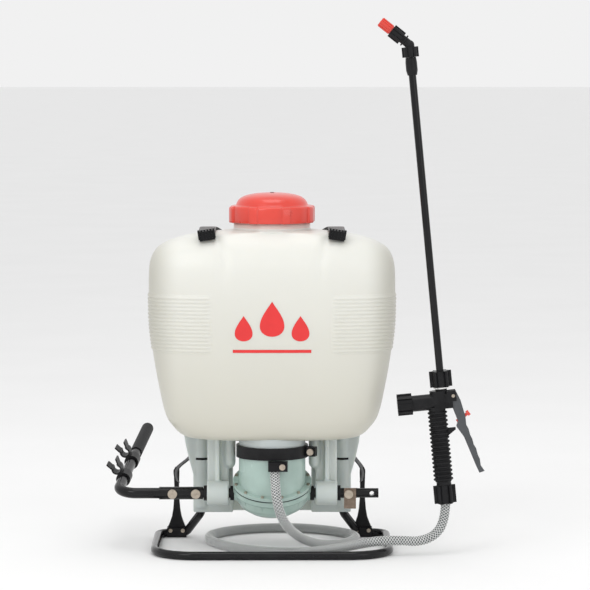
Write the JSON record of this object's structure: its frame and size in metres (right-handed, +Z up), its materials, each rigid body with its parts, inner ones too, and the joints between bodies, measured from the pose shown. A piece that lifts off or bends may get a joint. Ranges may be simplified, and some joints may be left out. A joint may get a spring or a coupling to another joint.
{
  "type": "backpack sprayer",
  "caption": "Hand-pumped knapsack sprayer: translucent tank on a bent-tube frame, side pump lever, diaphragm pump, braided hose and trigger wand.",
  "frame": {"origin": "on the floor, under the middle of the tank", "axes": "+Z up, +X towards the free end of the pump shaft and the wand, +Y towards the wearer's back"},
  "size_m": [0.5701, 0.3988, 0.8005],
  "materials": {
    "tank_plastic": "milky translucent polyethylene, smooth blow-moulded skin",
    "red_plastic": "glossy moulded",
    "black_rubber": "matt rubber",
    "black_plastic": "moulded, satin",
    "black_tube": "gloss black powder coat",
    "zinc": "zinc plated",
    "pad_fabric": "woven nylon over foam",
    "webbing": "woven polypropylene",
    "pump_plastic": "translucent polypropylene",
    "braided_hose": "clear pvc with braid",
    "white_plastic": "moulded",
    "trigger_plastic": "dark grey moulded nylon",
    "wand_tube": "gloss extruded tube"
  },
  "bodies": {
    "sprayer": {"tank": "tank_plastic", "filter_basket": "black_plastic", "strap_hook_right": "black_plastic", "strap_hook_left": "black_plastic", "base_frame": "black_tube", "strap_bracket_left": "black_plastic", "strap_bracket_right": "black_plastic", "bracket_screws": "zinc", "shoulder_strap_right": "pad_fabric", "shoulder_strap_left": "pad_fabric", "strap_buckle_right": "black_plastic", "strap_buckle_left": "black_plastic", "lower_webbing_right": "webbing", "lower_webbing_left": "webbing", "shaft_bush_right": "black_plastic", "shaft_bush_left": "black_plastic", "pump_lower_housing": "pump_plastic", "pump_upper_housing": "pump_plastic", "shaft_seal_left": "black_rubber", "shaft_seal_right": "black_rubber", "pump_diaphragm": "black_rubber", "flange_screws": "zinc", "intake_valve": "black_rubber", "outlet_valve": "black_rubber", "pressure_chamber": "pump_plastic", "clamp_band": "black_plastic", "clamp_bolt": "zinc", "outlet_block": "black_plastic", "outlet_screw": "zinc", "hose": "braided_hose", "hose_nut": "black_plastic", "handset_grip": "black_rubber", "valve_body": "black_plastic", "side_cap": "black_plastic", "handset_filter": "white_plastic", "wand_nut": "black_plastic", "white_ring": "white_plastic", "trigger_pin": "zinc", "wand_tube": "wand_tube", "wand_collar": "black_plastic", "elbow_nut": "black_plastic"},
    "gasket": {"cap_gasket": "black_rubber"},
    "cap": {"tank_cap": "red_plastic", "cap_vent_valve": "black_rubber"},
    "lever": {"pump_shaft": "black_tube", "lever_tube": "black_tube", "lever_grip": "black_rubber", "wand_clip_lower": "black_plastic", "wand_clip_upper": "black_plastic", "lever_bolts": "zinc", "stop_plate": "zinc", "stop_bolt": "zinc", "crank_arm": "zinc"},
    "plunger": {"plunger": "pump_plastic"},
    "trigger": {"trigger": "trigger_plastic"},
    "trigger_lock": {"trigger_lock": "red_plastic"},
    "valve_stem": {"valve_stem": "black_plastic"},
    "elbow": {"elbow": "black_plastic", "nozzle_nut": "black_plastic"},
    "nozzle_tip": {"nozzle_tip": "red_plastic"}
  },
  "joints": [
    {"name": "cap_lift", "type": "slide", "parent": "sprayer", "child": "gasket", "axis": [0, 0, 1], "range_m": [0, 0.09]},
    {"name": "cap_turn", "type": "hinge", "parent": "gasket", "child": "cap", "pos_m": [0, 0, 0.51], "axis": [0, 0, 1], "range_deg": [0, 270]},
    {"name": "lever_swing", "type": "hinge", "parent": "sprayer", "child": "lever", "pos_m": [0, -0.02, 0.088], "axis": [1, 0, 0], "range_deg": [0, 40]},
    {"name": "plunger_slide", "type": "slide", "parent": "sprayer", "child": "plunger", "axis": [0, -0.3584, 0.9336], "range_m": [0, 0.0104], "deforming": ["pump_diaphragm"]},
    {"name": "trigger_squeeze", "type": "hinge", "parent": "sprayer", "child": "trigger", "pos_m": [0.26925, -0.062, 0.24071], "axis": [0, 1, 0], "range_deg": [0, 10], "stiffness_Nm_per_rad": 2, "springref_deg": -11.46},
    {"name": "trigger_lock_slide", "type": "slide", "parent": "trigger", "child": "trigger_lock", "axis": [-0.8039, 0, -0.5948], "range_m": [0, 0.002]},
    {"name": "valve_stem_slide", "type": "slide", "parent": "sprayer", "child": "valve_stem", "axis": [-0.9954, 0, -0.0958], "range_m": [0, 0.0024]},
    {"name": "elbow_swivel", "type": "hinge", "parent": "sprayer", "child": "elbow", "pos_m": [0.2031, -0.062, 0.76076], "axis": [-0.0958, 0, 0.9954], "range_deg": [-90, 90]},
    {"name": "nozzle_turn", "type": "hinge", "parent": "elbow", "child": "nozzle_tip", "pos_m": [0.2031, -0.062, 0.76076], "axis": [-0.7826, 0, 0.6225], "range_deg": [0, 270]}
  ],
  "couplings": [
    {"joint": "plunger_slide", "follows": "lever_swing", "m_per_rad": 0.0147},
    {"joint": "valve_stem_slide", "follows": "trigger_squeeze", "m_per_rad": 0.013}
  ]
}
